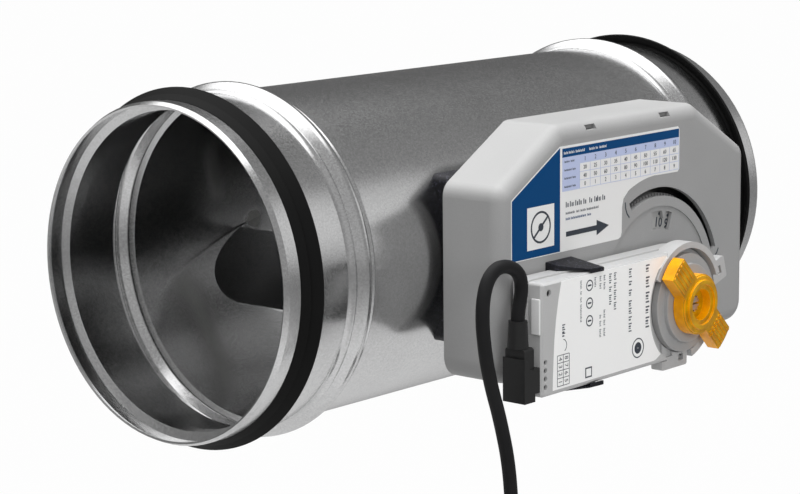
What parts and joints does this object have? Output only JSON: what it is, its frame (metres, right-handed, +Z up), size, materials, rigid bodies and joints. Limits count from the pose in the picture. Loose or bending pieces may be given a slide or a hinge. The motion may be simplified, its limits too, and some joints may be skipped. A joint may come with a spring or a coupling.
{
  "type": "round air volume controller",
  "caption": "Round duct section with rubber-sealed spigots, a tilting damper blade and a side housing with set-point scale, spring mechanism and electric actuator",
  "frame": {"origin": "on the duct's axis, in the middle of the plain band behind the inlet rim's lead-in", "axes": "+X along the duct with the air flow, -Y towards the control housing, +Z up"},
  "size_m": [0.3783, 0.232, 0.2898],
  "materials": {
    "galvanised_sheet": "galvanised, fine spangle",
    "seal_rubber": "matt",
    "saddle_plastic": "textured black",
    "housing_plastic": "moulded grey",
    "base_plastic": "moulded grey",
    "bush_plastic": "matt black",
    "zinc_steel": "zinc plated",
    "dial_plastic": "moulded dark",
    "scale_plastic": "printed plate",
    "cam_plastic": "moulded natural",
    "brass": "turned",
    "actuator_plastic": "moulded light grey",
    "hub_plastic": "moulded grey",
    "knob_plastic": "translucent amber",
    "holder_plastic": "textured black",
    "plug_plastic": "matt black",
    "cord_jacket": "matt",
    "lead_insulation": "smooth"
  },
  "bodies": {
    "duct": {"duct_tube": "galvanised_sheet", "inlet_seal": "seal_rubber", "outlet_seal": "seal_rubber", "front_shaft_bush": "bush_plastic", "rear_shaft_bush": "bush_plastic", "mounting_saddle": "saddle_plastic", "housing_base": "base_plastic", "housing_cover": "housing_plastic", "base_screws": "zinc_steel", "rocker_pin": "zinc_steel", "actuator_base": "actuator_plastic", "actuator_cover": "actuator_plastic", "upper_end_stop": "actuator_plastic", "lower_end_stop": "actuator_plastic", "end_clip": "actuator_plastic", "actuator_holder": "holder_plastic", "connector_plug": "plug_plastic", "plug_cover": "plug_plastic", "strain_relief": "plug_plastic", "supply_cord": "cord_jacket", "cord_coil": "cord_jacket", "cord_tail": "cord_jacket", "coil_tie": "plug_plastic", "wire_leads": "lead_insulation", "lead_ferrules": "zinc_steel"},
    "damper": {"damper_blade": "galvanised_sheet", "damper_shaft": "zinc_steel", "blade_rivets": "zinc_steel", "damper_lever": "zinc_steel", "lever_pin": "zinc_steel", "shaft_clip": "zinc_steel"},
    "setpoint": {"setpoint_spindle": "zinc_steel", "toothed_dial": "dial_plastic", "scale_plate": "scale_plastic", "setpoint_cam": "cam_plastic", "drive_hub": "hub_plastic", "clamp_knob": "knob_plastic"},
    "rocker": {"spring_rocker": "zinc_steel", "roller_pin": "zinc_steel", "tension_spring": "zinc_steel"},
    "roller": {"cam_roller": "brass"}
  },
  "joints": [
    {"name": "damper_turn", "type": "hinge", "parent": "duct", "child": "damper", "pos_m": [0.1343, 0, 0], "axis": [0, -1, 0], "range_deg": [0, 66], "stiffness_Nm_per_rad": 0.06, "springref_deg": -28.65, "deforming": ["tension_spring"]},
    {"name": "setpoint_turn", "type": "hinge", "parent": "duct", "child": "setpoint", "pos_m": [0.2185, -0.1, -0.031], "axis": [0, -1, 0], "range_deg": [-7, 88]},
    {"name": "rocker_turn", "type": "hinge", "parent": "duct", "child": "rocker", "pos_m": [0.1788, -0.1, 0.03], "axis": [0, -1, 0], "range_deg": [-0.7, 7.6]},
    {"name": "roller_turn", "type": "hinge", "parent": "rocker", "child": "roller", "pos_m": [0.1945, -0.1055, -0.031], "axis": [0, -1, 0], "continuous": true}
  ],
  "couplings": [
    {"joint": "rocker_turn", "follows": "setpoint_turn", "ratio": 0.084211}
  ]
}
